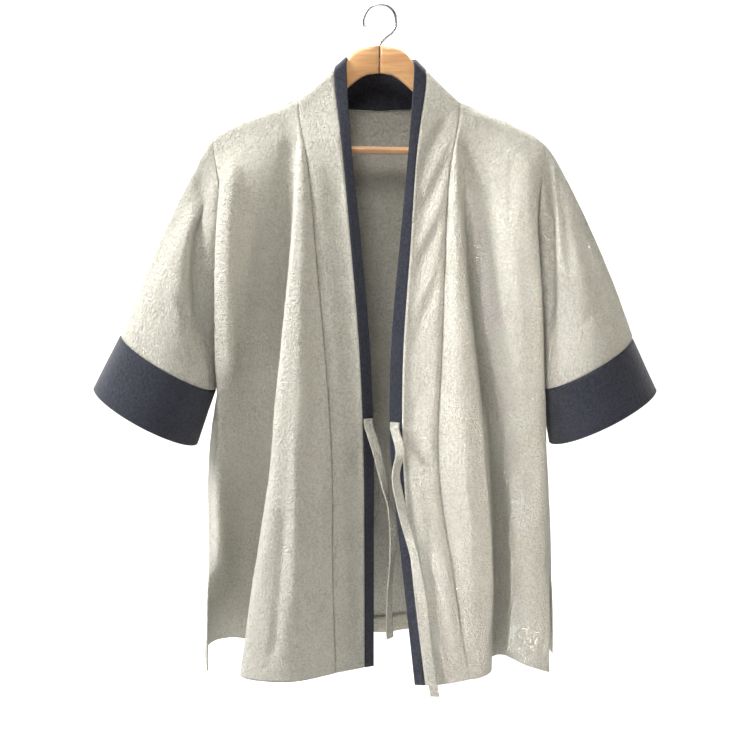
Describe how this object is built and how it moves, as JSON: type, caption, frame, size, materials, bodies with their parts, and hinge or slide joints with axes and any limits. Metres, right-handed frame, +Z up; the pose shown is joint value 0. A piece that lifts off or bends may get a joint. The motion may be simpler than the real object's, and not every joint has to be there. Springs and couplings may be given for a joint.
{
  "type": "hanfu jacket on a clothes hanger",
  "caption": "Open-front hanfu jacket with a straight neck band, dark edging and cuffs and hanging ties, on a wooden clothes hanger.",
  "frame": {"origin": "inside top of the hanger's hook, where it bears on a rail", "axes": "+Z up; -Y out of the front of the jacket; +X towards the wearer's left"},
  "size_m": [0.731, 0.2007, 0.87],
  "materials": {
    "linen": "matt crinkled linen",
    "linen_inside": "matt crinkled linen, inside",
    "dark_linen": "matt slubbed linen",
    "wood": "clear satin lacquer",
    "steel": "polished wire"
  },
  "bodies": {
    "root": {"back_panel": "linen", "back_hem": "linen_inside", "right_front": "linen", "left_front": "linen", "right_band": "linen", "left_band": "linen", "right_edging": "dark_linen", "left_edging": "dark_linen", "right_sleeve": "linen", "left_sleeve": "linen", "right_cuff": "dark_linen", "left_cuff": "dark_linen", "neck_facing": "dark_linen", "right_tie": "linen", "left_tie": "linen", "hanger_arm_right": "wood", "hanger_arm_left": "wood", "trouser_bar": "wood", "hook": "steel"}
  },
  "joints": []
}
